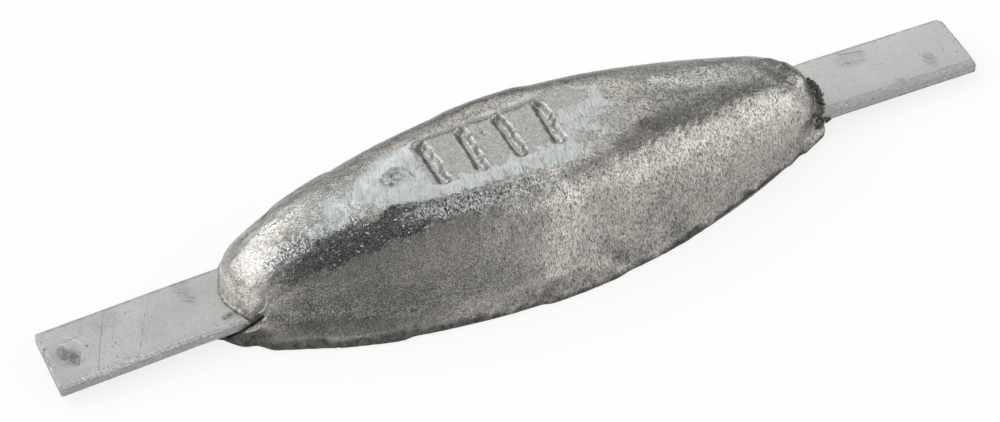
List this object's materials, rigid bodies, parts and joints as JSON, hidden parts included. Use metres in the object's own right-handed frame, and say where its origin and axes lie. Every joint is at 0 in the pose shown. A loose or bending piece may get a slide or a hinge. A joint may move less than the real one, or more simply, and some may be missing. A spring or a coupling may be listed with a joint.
{
  "type": "weld-on hull anode",
  "caption": "Boat-shaped sacrificial zinc anode cast round a flat steel strap, whose bare ends weld to a ship's hull.",
  "frame": {"origin": "centre of the whole anode's footprint, on the flat back that lies against the hull", "axes": "+X along the strap, +Y across the casting, +Z away from the hull to the crown"},
  "size_m": [0.411, 0.1004, 0.042],
  "materials": {
    "zinc": "as-cast zinc, grainy, brushed bright on the crown",
    "galvanised_steel": "dull pale galvanising, finely scratched"
  },
  "bodies": {
    "root": {"anode_casting": "zinc", "steel_strap": "galvanised_steel"}
  },
  "joints": []
}
